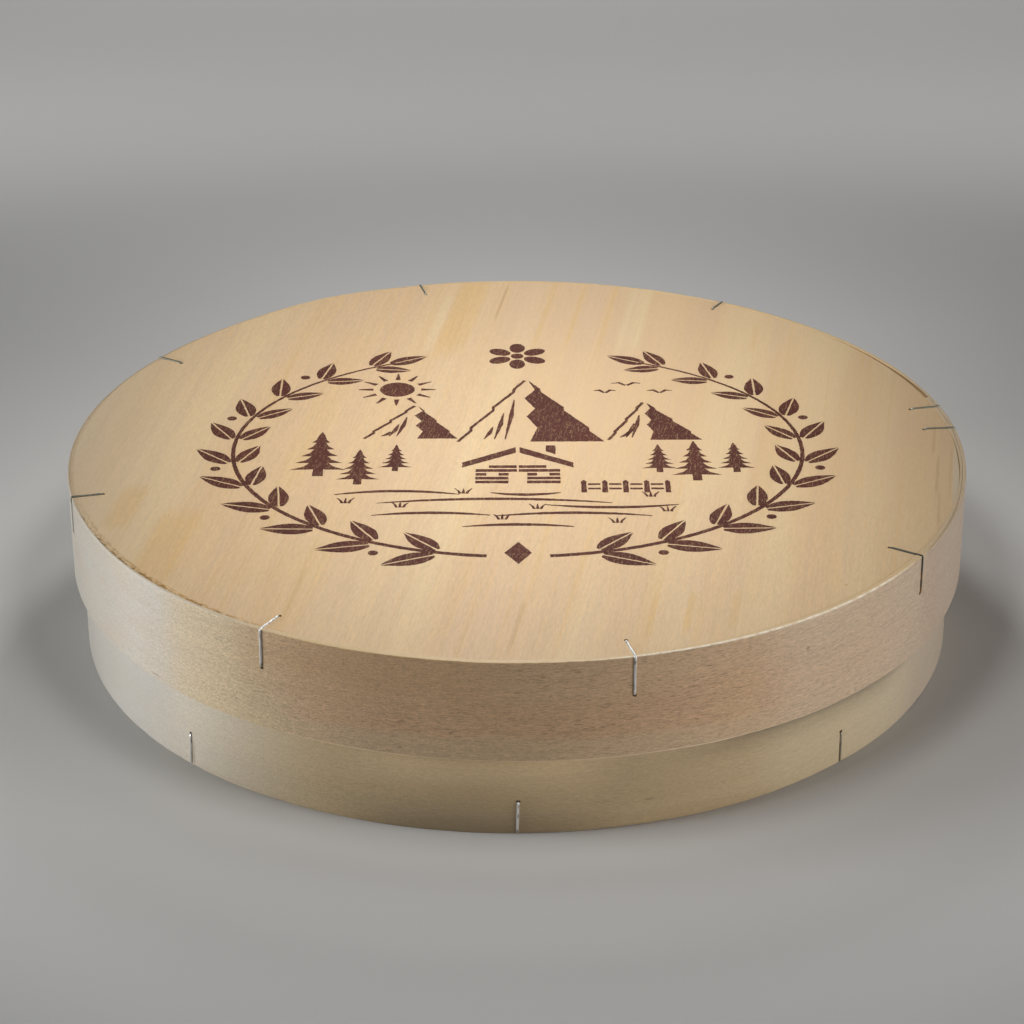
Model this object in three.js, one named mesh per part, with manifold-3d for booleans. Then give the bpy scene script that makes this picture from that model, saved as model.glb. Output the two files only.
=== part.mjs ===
// A shut round cheese box of thin poplar wood: a shallow base and a lid that slips over it.
// Each half is a round board with one bent strip about it, lapped on itself and held by wire staples.
// Millimetres, +Z up, origin in the middle of the underside. Angles run anticlockwise from +X, from above.
import * as THREE from 'three';
import { mergeVertices } from 'three/addons/utils/BufferGeometryUtils.js';
import Module from 'manifold-3d';

const wasm = await Module();
wasm.setup();

// Driving dimensions of the box
const LID_DIAMETER = 235;
const BASE_DIAMETER = 229.5;
const HEIGHT = 47.5;
const LID_BAND_HEIGHT = 26.5;
const BOARD_THICKNESS = 4;
const BOARD_INSET = 0.3; // the lid's board lies this much below its band's top edge
const WOOD_GAP = 0.3; // between a board and what is next to it
const BASE_SHIFT = -0.6; // the lap inside the lid pushes the base aside, along X

// Bent strips: the ends lap, and the outer end is pared down to lie flush
const STRIP_THICKNESS = 1.5;
const STRIP_STEP = 2; // degrees between two bends of a strip
const LAP_ANGLE = 46; // degrees that the two ends share
const SCARF_START = 26; // degrees from the inner end to where the paring starts
const LAP_GAP = 0.1;
const FEATHER = 0.25; // thickness left at the pared end
const END_GAP = 0.2; // degrees of slit in front of the pared end
const EASE_ANGLE = 6; // degrees past the lap for the strip to come back to the board
const WEDGE_ANGLE = 10; // degrees of open wedge between board and band before the inner end
const LID_LAP_AT = 16; // angle of the lid strip's inner end
const BASE_LAP_AT = 122; // the base strip laps at the back

// Wire staples: over the edge, with both ends turned into the wood
const WIRE = 0.8;
const WIRE_CLEARANCE = 0.1;
const WIRE_SIDES = 8;
const BEND_RADIUS = 0.7;
const BEND_STEPS = 3;
const LID_STAPLE_COUNT = 8;
const LID_STAPLE_START = 14;
const LAP_STAPLE_AT = 6; // one more pins the lid strip's lap
const LID_STAPLE_LEG = 10;
const BASE_STAPLE_COUNT = 8;
const BASE_STAPLE_LEG = 8.5;
const STAPLE_REACH = 8.4; // from the band's outer face to where the wire enters the board
const STAPLE_BITE = 3; // depth of wire in a board
const HOLE = 1.1; // pierced for the wire, square grooves too
const OVERCUT = 1; // a cutter runs this far past the wood
const WELD = 1e-4; // points closer than this are one

// Sizes that follow
const LID_RADIUS = LID_DIAMETER / 2;
const BASE_RADIUS = BASE_DIAMETER / 2;
const LID_BAND_BOTTOM = HEIGHT - LID_BAND_HEIGHT;
const LID_BOARD_TOP = HEIGHT - BOARD_INSET;
const LID_BOARD_BOTTOM = LID_BOARD_TOP - BOARD_THICKNESS;
const BASE_TOP = LID_BOARD_BOTTOM - WOOD_GAP;
const LAP_DEPTH = STRIP_THICKNESS + LAP_GAP;

const degrees = THREE.MathUtils.degToRad;
const { clamp, lerp } = THREE.MathUtils;

function ramp(from, to, value) {
  return clamp((value - from) / (to - from), 0, 1);
}

function polar(radius, angle) {
  return new THREE.Vector2(radius * Math.cos(degrees(angle)), radius * Math.sin(degrees(angle)));
}

// Radius of a strip's inner face, by the angle run clockwise from its inner end
function stripInside(radius, run) {
  const lapped = run - 360;
  if (lapped > SCARF_START) {
    return radius - lerp(STRIP_THICKNESS, FEATHER, ramp(SCARF_START, LAP_ANGLE, lapped));
  }
  const tucked = 1 - ramp(SCARF_START, LAP_ANGLE + EASE_ANGLE, run);
  return radius - STRIP_THICKNESS - LAP_DEPTH * tucked;
}

// Radius of its outer face: under the lap it follows the inside of the layer above
function stripOutside(radius, run) {
  if (run > LAP_ANGLE) {
    return radius;
  }
  return stripInside(radius, run + 360) - LAP_GAP;
}

// Plan of a strip as one long bent outline with lapped ends
function stripPlan(radius, lapAt) {
  const inside = [];
  const outside = [];
  for (let run = 0; run <= 360 + LAP_ANGLE; run += STRIP_STEP) {
    inside.push(polar(stripInside(radius, run), lapAt - run));
    outside.push(polar(stripOutside(radius, run), lapAt - run));
    if (run === LAP_ANGLE) {
      outside.push(polar(stripOutside(radius, run), lapAt - run - END_GAP));
      outside.push(polar(radius, lapAt - run - END_GAP));
    }
  }
  return new THREE.Shape([...outside, ...inside.reverse()]);
}

// Plan of a board: round, but cut back where the strip's inner end lies, with an open wedge before it
function boardPlan(bandRadius, lapAt) {
  const rim = [];
  for (let turn = 0; turn < 360; turn += STRIP_STEP) {
    const run = turn - WEDGE_ANGLE;
    const wedge = ramp(-WEDGE_ANGLE, 0, run);
    const tucked = 1 - ramp(SCARF_START, LAP_ANGLE + EASE_ANGLE, run);
    const cutBack = LAP_DEPTH * Math.min(wedge, tucked);
    rim.push(polar(bandRadius - STRIP_THICKNESS - WOOD_GAP - cutBack, lapAt - run));
  }
  return new THREE.Shape(rim);
}

function upright(plan, bottom, top) {
  const geometry = new THREE.ExtrudeGeometry(plan, { depth: top - bottom, bevelEnabled: false });
  return geometry.translate(0, 0, bottom);
}

// Cutting: a closed geometry as a solid, and back again
function solidOf(geometry) {
  const bare = geometry.index ? geometry.toNonIndexed() : geometry.clone();
  bare.deleteAttribute('normal');
  bare.deleteAttribute('uv');
  const merged = mergeVertices(bare, WELD);
  return new wasm.Manifold(new wasm.Mesh({
    numProp: 3,
    vertProperties: merged.attributes.position.array,
    triVerts: new Uint32Array(merged.index.array),
  }));
}

function cut(geometry, cutters) {
  let solid = solidOf(geometry);
  for (const cutter of cutters) {
    solid = solid.subtract(solidOf(cutter));
  }
  const mesh = solid.getMesh();
  const result = new THREE.BufferGeometry();
  result.setAttribute('position', new THREE.BufferAttribute(mesh.vertProperties, 3));
  result.setIndex(new THREE.BufferAttribute(mesh.triVerts, 1));
  result.computeVertexNormals();
  return result;
}

// A wire bent round the corners of a route in the plane of radius and height
class BentWire extends THREE.Curve {
  constructor(corners) {
    super();
    this.stops = [corners[0]];
    for (let i = 1; i < corners.length - 1; i += 1) {
      const into = corners[i].clone().sub(corners[i - 1]).normalize();
      const out = corners[i + 1].clone().sub(corners[i]).normalize();
      const begin = corners[i].clone().addScaledVector(into, -BEND_RADIUS);
      const end = corners[i].clone().addScaledVector(out, BEND_RADIUS);
      const bend = new THREE.QuadraticBezierCurve3(begin, corners[i], end);
      this.stops.push(...bend.getPoints(BEND_STEPS));
    }
    this.stops.push(corners.at(-1));
    this.steps = this.stops.length - 1;
  }

  getPointAt(share) {
    return this.stops[Math.round(share * this.steps)].clone();
  }

  getTangentAt(share) {
    const here = Math.round(share * this.steps);
    const before = this.stops[Math.max(here - 1, 0)];
    const after = this.stops[Math.min(here + 1, this.steps)];
    return after.clone().sub(before).normalize();
  }
}

function wireAlong(corners, angle) {
  const section = new THREE.Shape().absarc(0, 0, WIRE / 2, 0, 2 * Math.PI);
  const path = new BentWire(corners.map(([radius, height]) => new THREE.Vector3(radius, 0, height)));
  const settings = { steps: path.steps, curveSegments: WIRE_SIDES / 2, extrudePath: path };
  return new THREE.ExtrudeGeometry(section, settings).rotateZ(degrees(angle));
}

function holeUp(radius, bottom, top, angle) {
  const hole = new THREE.CylinderGeometry(HOLE / 2, HOLE / 2, top - bottom, WIRE_SIDES);
  return hole.rotateX(Math.PI / 2).translate(radius, 0, (bottom + top) / 2).rotateZ(degrees(angle));
}

function holeThrough(bandRadius, height, angle) {
  const length = 2 * (LAP_DEPTH + OVERCUT);
  const middle = bandRadius - LAP_DEPTH;
  const hole = new THREE.CylinderGeometry(HOLE / 2, HOLE / 2, length, WIRE_SIDES);
  return hole.rotateZ(Math.PI / 2).translate(middle, 0, height).rotateZ(degrees(angle));
}

function grooveUnder(bandRadius, angle) {
  const length = STAPLE_REACH + HOLE / 2 + OVERCUT;
  const middle = bandRadius + OVERCUT - length / 2;
  const depth = WIRE + 2 * WIRE_CLEARANCE;
  const groove = new THREE.BoxGeometry(length, HOLE, 2 * depth);
  return groove.translate(middle, 0, 0).rotateZ(degrees(angle));
}

// A lid staple goes down into the board, out over the rim, down the band and in through it
function lidStaple(angle) {
  const inner = LID_RADIUS - STAPLE_REACH;
  const outer = LID_RADIUS + WIRE_CLEARANCE + WIRE / 2;
  const over = HEIGHT + WIRE_CLEARANCE + WIRE / 2;
  const foot = HEIGHT - LID_STAPLE_LEG;
  return wireAlong([
    [inner, LID_BOARD_TOP - STAPLE_BITE],
    [inner, over],
    [outer, over],
    [outer, foot],
    [LID_RADIUS - STRIP_THICKNESS - WIRE_CLEARANCE, foot],
  ], angle);
}

// A base staple is the same upside down, sunk in a groove so that the underside stays flat
function baseStaple(angle) {
  const inner = BASE_RADIUS - STAPLE_REACH;
  const outer = BASE_RADIUS + WIRE_CLEARANCE + WIRE / 2;
  const under = WIRE / 2 + WIRE_CLEARANCE / 2;
  return wireAlong([
    [inner, under + STAPLE_BITE],
    [inner, under],
    [outer, under],
    [outer, BASE_STAPLE_LEG],
    [BASE_RADIUS - STRIP_THICKNESS, BASE_STAPLE_LEG],
  ], angle);
}

function around(count, start) {
  return Array.from({ length: count }, (_, i) => (start + i * 360 / count) % 360);
}

const lidStapleAngles = [...around(LID_STAPLE_COUNT, LID_STAPLE_START), LAP_STAPLE_AT];
const baseStapleAngles = around(BASE_STAPLE_COUNT, 0);

const wood = { roughness: 0.7, metalness: 0 };
const boardWood = { color: 0xdcb98c, ...wood };
const lidBandWood = { color: 0xc9a987, ...wood };
const baseBandWood = { color: 0xcfbf96, ...wood };
const steel = { color: 0x9a9a98, roughness: 0.35, metalness: 1 };

function piece(name, geometry, finish) {
  const mesh = new THREE.Mesh(geometry, new THREE.MeshStandardMaterial(finish));
  mesh.name = name;
  return mesh;
}

// Lid: the board lies inside its band, flush with the top edge
const lid = new THREE.Group();
const lidBoard = cut(
  upright(boardPlan(LID_RADIUS, LID_LAP_AT), LID_BOARD_BOTTOM, LID_BOARD_TOP),
  lidStapleAngles.map((angle) => (
    holeUp(LID_RADIUS - STAPLE_REACH, LID_BOARD_BOTTOM - OVERCUT, HEIGHT, angle)
  )),
);
const lidBand = cut(
  upright(stripPlan(LID_RADIUS, LID_LAP_AT), LID_BAND_BOTTOM, HEIGHT),
  lidStapleAngles.map((angle) => holeThrough(LID_RADIUS, HEIGHT - LID_STAPLE_LEG, angle)),
);
lid.add(piece('lid_board', lidBoard, boardWood));
lid.add(piece('lid_band', lidBand, lidBandWood));
lidStapleAngles.forEach((angle, i) => lid.add(piece(`lid_staple_${i + 1}`, lidStaple(angle), steel)));

// Base: the shut box is solid, so the bottom board fills the band up to the lid
const base = new THREE.Group();
base.position.x = BASE_SHIFT;
const grooves = baseStapleAngles.map((angle) => grooveUnder(BASE_RADIUS, angle));
const baseBoard = cut(
  upright(boardPlan(BASE_RADIUS, BASE_LAP_AT), 0, BASE_TOP),
  [...grooves, ...baseStapleAngles.map((angle) => (
    holeUp(BASE_RADIUS - STAPLE_REACH, -OVERCUT, STAPLE_BITE + 2 * WIRE, angle)
  ))],
);
const baseBand = cut(
  upright(stripPlan(BASE_RADIUS, BASE_LAP_AT), 0, BASE_TOP),
  [...grooves, ...baseStapleAngles.map((angle) => holeThrough(BASE_RADIUS, BASE_STAPLE_LEG, angle))],
);
base.add(piece('base_board', baseBoard, boardWood));
base.add(piece('base_band', baseBand, baseBandWood));
baseStapleAngles.forEach((angle, i) => base.add(piece(`base_staple_${i + 1}`, baseStaple(angle), steel)));

const box = new THREE.Group();
box.add(base, lid);

export default box;
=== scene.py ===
import math

import bmesh
import bpy
import numpy as np
from mathutils import Matrix, Vector, noise


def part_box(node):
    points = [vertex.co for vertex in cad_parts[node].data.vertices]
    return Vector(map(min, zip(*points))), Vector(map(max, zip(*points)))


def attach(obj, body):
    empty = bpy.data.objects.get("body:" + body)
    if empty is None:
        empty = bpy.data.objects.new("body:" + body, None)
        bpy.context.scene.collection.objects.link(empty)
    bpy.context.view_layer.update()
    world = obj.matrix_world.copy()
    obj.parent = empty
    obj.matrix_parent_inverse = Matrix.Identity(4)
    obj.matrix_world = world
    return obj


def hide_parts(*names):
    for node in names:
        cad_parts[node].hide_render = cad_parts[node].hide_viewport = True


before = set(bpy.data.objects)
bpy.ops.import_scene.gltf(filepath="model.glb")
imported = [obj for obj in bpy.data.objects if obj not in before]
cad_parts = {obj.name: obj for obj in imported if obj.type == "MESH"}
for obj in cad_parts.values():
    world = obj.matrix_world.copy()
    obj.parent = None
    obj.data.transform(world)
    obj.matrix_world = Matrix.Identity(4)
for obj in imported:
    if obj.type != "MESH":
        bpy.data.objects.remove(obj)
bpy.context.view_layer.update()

# Lid board: a round of sliced poplar, pale straw, with its grain running front to back and a little aslant.
# It was sawn out and dropped inside the lid's band, so its edge is rough and the joint opens and closes.
# The wire staples pierce it near the rim. One side is cut back to make room for the band's inner end.
MM = 0.001
TURN = 2 * math.pi
band_low, band_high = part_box("lid_band")
board_low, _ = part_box("lid_board")
LID_RADIUS = band_high.y
# Thickness of the strip in mm by the degrees run from its inner end: uneven, as peeled wood is
STRIP_RUN = (0, 12, 24, 32, 42, 50, 70, 90, 100, 130, 142, 164, 300, 335, 350, 360, 372)
STRIP_THICK = (0.95, 0.75, 0.6, 0.7, 1.05, 1.5, 1.6, 1.05, 1.5, 1.55, 1.0, 0.45, 0.6, 1.3, 1.1, 0.65, 0.9)
LAP_GAP = 0.04 * MM
LAP_DEPTH = STRIP_THICK[-1] * MM + LAP_GAP
LAP_ANGLE, SCARF_START = math.radians(46), math.radians(26)
EASE_ANGLE, WEDGE_ANGLE = math.radians(6), math.radians(26)
END_PARED, END_ANGLE = 0.1 * MM, math.radians(8)
FEATHER = 0.05 * MM
LID_LAP_AT = math.radians(16)
LID_WAVES = ((2, 0.25, -4), (3, 0.13, -37), (4, 0.16, 29), (5, 0.18, 27))
BULGE, BULGE_AT, BULGE_WIDTH = 1.1 * MM, math.radians(118), math.radians(8)
BOARD_STEPS = 1440
FLAT_RING, OUTER_RING, RIM_RING = 100 * MM, 112 * MM, 2.2 * MM
INSET = 0.06 * MM
JOINT_TIGHT, JOINT_OPEN = 0.005 * MM, 0.05 * MM
JOINT_OPEN_AT, JOINT_OPEN_WIDTH = 219, math.radians(14)
CHIP, CHIP_LENGTH, CHIP_DEPTH, CHIP_FULL = 2.6 * MM, 1.5 * MM, 0.2 * MM, 0.25 * MM
WEDGE, WEDGE_DEPTH = 1.25 * MM, 0.5 * MM
SLIT, SLIT_AT, SLIT_WIDTH = 0.3 * MM, math.radians(-4), math.radians(5)
WIRE = 0.62 * MM
HOLE, HOLE_OFF, HOLE_SIDES = 1.1 * MM, 0.22 * MM, 10
STAPLE_BITE = 2.6 * MM
SHARP_EDGE, SHARP_WIRE = 35, 50
LID_STAPLES = [math.radians(a) for a in (12.8, 59.1, 104.1, 149.0, 194.4, 238.8, 283.3, 327.5, 5.9)]
LID_REACH = [MM * reach for reach in (8.0, 6.2, 7.0, 7.4, 7.5, 7.8, 8.4, 8.4, 8.0)]


def sway(angle):
    """How far the lid's rim stands out of a true circle."""
    waves = sum(MM * size * np.cos(n * (angle - math.radians(at))) for n, size, at in LID_WAVES)
    off = (angle - BULGE_AT + math.pi) % TURN - math.pi
    return waves + BULGE * np.exp(-((off / BULGE_WIDTH) ** 2))


def rise(low, high, value):
    """0 below low, 1 above high, and even between."""
    return np.clip((value - low) / (high - low), 0, 1)


def strip_inside(radius, run):
    """Radius of a strip's inner face, by the angle run clockwise from its inner end."""
    thick = MM * np.interp(np.degrees(run), STRIP_RUN, STRIP_THICK)
    tucked = 1 - rise(SCARF_START, LAP_ANGLE + EASE_ANGLE, run)
    pared = rise(SCARF_START, LAP_ANGLE, run - TURN) * (LAP_DEPTH - LAP_GAP - FEATHER)
    blunt = (1 - rise(0, END_ANGLE, run)) * END_PARED
    return radius - thick - LAP_DEPTH * tucked + pared + blunt


def rough(points, lump, seed):
    """Smooth noise from -1 to 1 at each point, with lumps of about that size."""
    far_off = Vector((17.3, -9.1, 5.7)) * seed
    return np.array([noise.noise(Vector(p) / lump + far_off) for p in points])


def polar(radius, angle, height):
    radius, angle, height = np.broadcast_arrays(radius, angle, height)
    return np.stack([radius * np.cos(angle), radius * np.sin(angle), height], -1)


def loft(name, *bodies):
    """Closed skins, each over rows of rings with the same number of points, as one object."""
    points, faces = [], []
    for rings in bodies:
        rows, count = rings.shape[:2]
        at = np.arange(rows * count).reshape(rows, count) + len(points)
        near, far = at[:-1], at[1:]
        quads = np.stack([near, np.roll(near, -1, 1), np.roll(far, -1, 1), far], -1)
        faces += quads.reshape(-1, 4).tolist()
        faces += [at[0, ::-1].tolist(), at[-1].tolist()]
        points += rings.reshape(-1, 3).tolist()
    mesh = bpy.data.meshes.new(name)
    mesh.from_pydata(points, [], faces)
    mesh.update()
    piece = bpy.data.objects.new(name, mesh)
    bpy.context.scene.collection.objects.link(piece)
    return piece


def smoothed(piece, sharp_above):
    piece.data.shade_smooth()
    piece.data.set_sharp_from_angle(angle=math.radians(sharp_above))


def face_outwards(piece, sharp_above=SHARP_EDGE):
    work = bmesh.new()
    work.from_mesh(piece.data)
    bmesh.ops.recalc_face_normals(work, faces=work.faces)
    work.to_mesh(piece.data)
    work.free()
    smoothed(piece, sharp_above)


def pierce(piece, pins):
    """Cuts round holes along straight pins, each given by its two ends."""
    face_outwards(piece)
    rings = [wire_rings(np.array(pin), HOLE / 2, HOLE_SIDES) for pin in pins]
    cutter = loft("holes", *rings)
    face_outwards(cutter)
    cut = piece.modifiers.new("holes", "BOOLEAN")
    cut.operation, cut.solver, cut.object = "DIFFERENCE", "EXACT", cutter
    solid = piece.evaluated_get(bpy.context.evaluated_depsgraph_get())
    mesh = bpy.data.meshes.new_from_object(solid)
    piece.modifiers.clear()
    piece.data = mesh
    bpy.data.objects.remove(cutter)
    smoothed(piece, SHARP_EDGE)


def wire_rings(path, radius, sides):
    """Rings of points round a path that lies in one upright plane."""
    ahead = np.gradient(path, axis=0)
    ahead /= np.linalg.norm(ahead, axis=1, keepdims=True)
    span = path[-1] - path[0]
    middle = path[len(path) // 2] - path[0]
    askew = (0.31, 0.42, 0.85)
    across = np.cross(span, middle if len(path) > 2 else askew)
    across /= np.linalg.norm(across)
    side = np.cross(ahead, across)
    turn = np.arange(sides) * TURN / sides
    ring = np.cos(turn)[None, :, None] * across + np.sin(turn)[None, :, None] * side[:, None]
    return path[:, None] + radius * ring


class Shade:
    """A socket of a material, so that sums of sockets and numbers can be written as they are."""

    def __init__(self, tree, socket=None):
        self.tree = tree
        self.socket = socket

    def node(self, kind, settings, inputs, output=0):
        made = self.tree.nodes.new(kind)
        for name, value in settings.items():
            setattr(made, name, value)
        for name, value in inputs.items():
            if isinstance(value, Shade):
                self.tree.links.new(value.socket, made.inputs[name])
            else:
                made.inputs[name].default_value = value
        return Shade(self.tree, made.outputs[output])

    def math(self, operation, first, second):
        return self.node("ShaderNodeMath", {"operation": operation}, {0: first, 1: second})

    def __add__(self, other):
        return self.math("ADD", self, other)

    def __radd__(self, other):
        return self.math("ADD", other, self)

    def __sub__(self, other):
        return self.math("SUBTRACT", self, other)

    def __rsub__(self, other):
        return self.math("SUBTRACT", other, self)

    def __mul__(self, other):
        return self.math("MULTIPLY", self, other)

    def __rmul__(self, other):
        return self.math("MULTIPLY", other, self)

    def __truediv__(self, other):
        return self.math("DIVIDE", self, other)

    def __pow__(self, other):
        return self.math("POWER", self, other)

    def above(self, low, high):
        """0 below low, 1 above high, with soft ends."""
        limits = {"Value": self, "From Min": low, "From Max": high}
        return self.node("ShaderNodeMapRange", {"interpolation_type": "SMOOTHSTEP"}, limits)

    def mixed(self, mask, other):
        """This colour, with the other one where the mask is 1."""
        colours = {0: mask, 6: self, 7: other}
        return self.node("ShaderNodeMix", {"data_type": "RGBA"}, colours, 2)

    def shaded(self, factor):
        """This colour, darker or lighter by a factor."""
        scaled = {0: self, "Scale": factor}
        return self.node("ShaderNodeVectorMath", {"operation": "SCALE"}, scaled)

    def lumps(self, sizes, detail=2.0, roughness=0.5, bent=0.0):
        """Noise round 0.5 in lumps of those sizes in mm along this vector's axes."""
        scale = {0: self, 1: [1 / (size * MM) for size in sizes]}
        point = self.node("ShaderNodeVectorMath", {"operation": "MULTIPLY"}, scale)
        values = {"Vector": point, "Scale": 1.0, "Detail": detail, "Roughness": roughness, "Distortion": bent}
        return self.node("ShaderNodeTexNoise", {"noise_dimensions": "3D"}, values)

    def parts(self):
        split = self.node("ShaderNodeSeparateXYZ", {}, {0: self})
        outputs = split.socket.node.outputs
        return [Shade(self.tree, outputs[i]) for i in range(3)]

    def from_axis(self):
        x, y, _ = self.parts()
        return (x * x + y * y) ** 0.5

    def facing(self, azimuth, near, far):
        """1 where this place lies within an angle of that direction from the middle, 0 beyond another."""
        x, y, _ = self.parts()
        ahead = math.radians(azimuth)
        toward = (x * math.cos(ahead) + y * math.sin(ahead)) / self.from_axis()
        return toward.above(math.cos(math.radians(far)), math.cos(math.radians(near)))

    def joined(self, x, y, z):
        return self.node("ShaderNodeCombineXYZ", {}, {0: x, 1: y, 2: z})

    def colour(self, value):
        made = self.node("ShaderNodeRGB", {}, {})
        made.socket.default_value = (*value, 1)
        return made


def new_finish(name, roughness, sheen=0.0, metallic=0.0):
    made = bpy.data.materials.new(name)
    made.use_nodes = True
    shader = made.node_tree.nodes["Principled BSDF"]
    shader.inputs["Roughness"].default_value = roughness
    shader.inputs["Metallic"].default_value = metallic
    shader.inputs["Sheen Weight"].default_value = sheen
    shader.inputs["Sheen Roughness"].default_value = 0.4
    return made, Shade(made.node_tree), shader.inputs


def surface(inputs, colour, roughness, height, depth):
    """Feeds a finish: its colour, its roughness and a relief of that depth."""
    links = colour.tree.links
    links.new(colour.socket, inputs["Base Color"])
    links.new(roughness.socket, inputs["Roughness"])
    bump = {"Height": height, "Strength": 1.0, "Distance": depth}
    links.new(height.node("ShaderNodeBump", {}, bump).socket, inputs["Normal"])


GRAIN_SLANT = 0.15
PALE, ASH = (0.74, 0.565, 0.315), (0.62, 0.52, 0.37)
STRAW, CREAM, BLUSH = (0.69, 0.465, 0.24), (0.72, 0.515, 0.275), (0.68, 0.455, 0.265)
HONEY, TOFFEE = (0.68, 0.43, 0.17), (0.48, 0.28, 0.11)
SAWN, TORN = (0.44, 0.255, 0.09), (0.46, 0.255, 0.07)
# Sides that differ: a direction, how far round it they are full and how far they reach, in degrees
CALM_SIDE, OPEN_SIDE = (35, 35, 80), (JOINT_OPEN_AT, 10, 28)
RIGHT_RIM, LEFT_RIM = (305, 30, 42), (181, 6, 20)
# Streaks that show on this board: place across and along, half width and half length in mm, strength
STREAKS = {
    HONEY: (
        (-15.5, 92, 5.2, 36, 0.9), (8.5, 94, 1.0, 34, 0.8), (17.3, 92, 0.8, 30, 0.75),
        (26.6, 92, 1.0, 34, 0.75), (67.5, 74, 1.2, 12, 0.5), (-100, -35, 4.5, 15, 0.95),
        (-87.5, -57, 7, 24, 0.8), (-52, 30, 5, 60, 0.35), (68, 10, 4, 70, 0.3), (-56, -80, 10, 30, 0.4),
        (31.5, -94, 1.1, 13, 0.7), (40.6, -92, 1.3, 12, 0.65), (51.5, -91, 1.3, 12, 0.5),
    ),
    BLUSH: ((1.5, 95, 5.5, 36, 0.6), (13, 93, 3.6, 34, 0.5), (22, 93, 3.8, 34, 0.6)),
    PALE: ((34.5, 92, 4.4, 36, 0.7), (-22.5, 86, 1.6, 26, 0.5)),
    ASH: ((114.8, -15, 2.2, 26, 0.8),),
    TOFFEE: (
        (-4.4, 101, 0.5, 16, 0.6), (-0.6, -99, 0.8, 16, 0.4), (110.4, 4, 0.5, 10, 0.4),
        (108.7, -17, 0.5, 14, 0.5), (106.6, -37, 0.5, 12, 0.45), (112.4, -15, 0.35, 20, 0.3),
        (-54, -83, 0.6, 16, 0.25), (79.1, -78.3, 0.5, 0.7, 0.9),
    ),
}


def board_wood(root):
    """Colour, relief and pores of a poplar board in the object's own frame."""
    place = root.node("ShaderNodeTexCoord", {}, {}, "Object")
    x, y, z = place.parts()
    across = x - y * GRAIN_SLANT
    grain = root.joined(across, y, z)
    broad = grain.lumps((16, 240, 30))
    patches = grain.lumps((30, 55, 30))
    strips = grain.lumps((9, 420, 20), 3, 0.55)
    veins = grain.lumps((2.6, 170, 8), 3)
    lines = grain.lumps((0.8, 30, 3), 3, 0.6)
    fibres = grain.lumps((0.34, 2.4, 1.2), 3, 0.65)
    pores = grain.lumps((0.26, 2.6, 1.2), 1)
    colour = root.colour(STRAW).mixed(broad.above(0.38, 0.64), root.colour(CREAM))
    colour = colour.mixed(patches.above(0.5, 0.75) * 0.6, root.colour(BLUSH))
    colour = colour.mixed(strips.above(0.5, 0.58) * 0.35, root.colour(BLUSH).shaded(0.95))
    colour = colour.mixed(veins.above(0.54, 0.74) * 0.45, root.colour(HONEY))
    colour = colour.mixed(lines.above(0.55, 0.72) * 0.35, root.colour(HONEY))
    for tint, streaks in STREAKS.items():
        for at_x, at_y, half_width, half_length, strength in streaks:
            aside = (across - (at_x - GRAIN_SLANT * at_y) * MM) / (half_width * MM)
            on = (y - at_y * MM) / (half_length * MM)
            mask = (1 - (aside * aside).above(0.2, 1.0)) * (1 - (on * on).above(0.2, 1.0))
            mask = mask * (0.6 + 0.4 * veins.above(0.35, 0.65)) * strength
            colour = colour.mixed(mask, root.colour(tint))
    calm = 1 - 0.5 * place.facing(*CALM_SIDE)
    shade = 0.94 + ((lines - 0.5) * 0.2 + (fibres - 0.5) * 0.38 - pores.above(0.62, 0.74) * 0.05) * calm
    height = lines * 0.4 + fibres * 0.4 - pores.above(0.58, 0.75) * 0.5
    return colour.shaded(shade), height, pores, place


lid_turn = np.arange(BOARD_STEPS) * TURN / BOARD_STEPS
lid_run = (LID_LAP_AT - lid_turn + WEDGE_ANGLE) % TURN - WEDGE_ANGLE
joint_off = (lid_turn - math.radians(JOINT_OPEN_AT) + math.pi) % TURN - math.pi
joint = JOINT_TIGHT + JOINT_OPEN * np.exp(-((joint_off / JOINT_OPEN_WIDTH) ** 2))
rim_at = polar(LID_RADIUS, lid_turn, 0.0)
nicks = CHIP * np.clip(rough(rim_at, CHIP_LENGTH, 1) + 0.12, 0, 0.5) * (joint / JOINT_OPEN - 0.1)
wedge = WEDGE * rise(-WEDGE_ANGLE, 0, lid_run) * (lid_run < 0)
slit_off = (lid_turn - SLIT_AT + math.pi) % TURN - math.pi
chips = nicks + wedge + SLIT * np.exp(-((slit_off / SLIT_WIDTH) ** 2))
lid_rim = strip_inside(LID_RADIUS, np.where(lid_run < 0, lid_run + TURN, lid_run)) + sway(lid_turn) - joint
top, bottom = band_high.z - INSET, board_low.z
board_profile = [(FLAT_RING, 0, top), (OUTER_RING, 0, top), (lid_rim - RIM_RING, 0, top)]
chip_depth = CHIP_DEPTH * np.clip(chips / CHIP_FULL, 0.05, 1) + WEDGE_DEPTH * wedge / WEDGE
board_profile += [(lid_rim - 0.02 * MM, chips, top), (lid_rim - 0.01 * MM, 0.8 * chips, top - chip_depth)]
board_profile += [(lid_rim, 0, top - chip_depth - 0.1 * MM), (lid_rim, 0, bottom), (FLAT_RING, 0, bottom)]
lid_board = loft("lid_board_wood", np.array([
    polar(np.broadcast_to(r - c, BOARD_STEPS), lid_turn, h) for r, c, h in board_profile]))
through = np.array([bottom - MM, top + MM])
lid_holes = [polar(LID_RADIUS - reach - HOLE_OFF, a, through) for a, reach in zip(LID_STAPLES, LID_REACH)]
pierce(lid_board, lid_holes)

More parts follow.
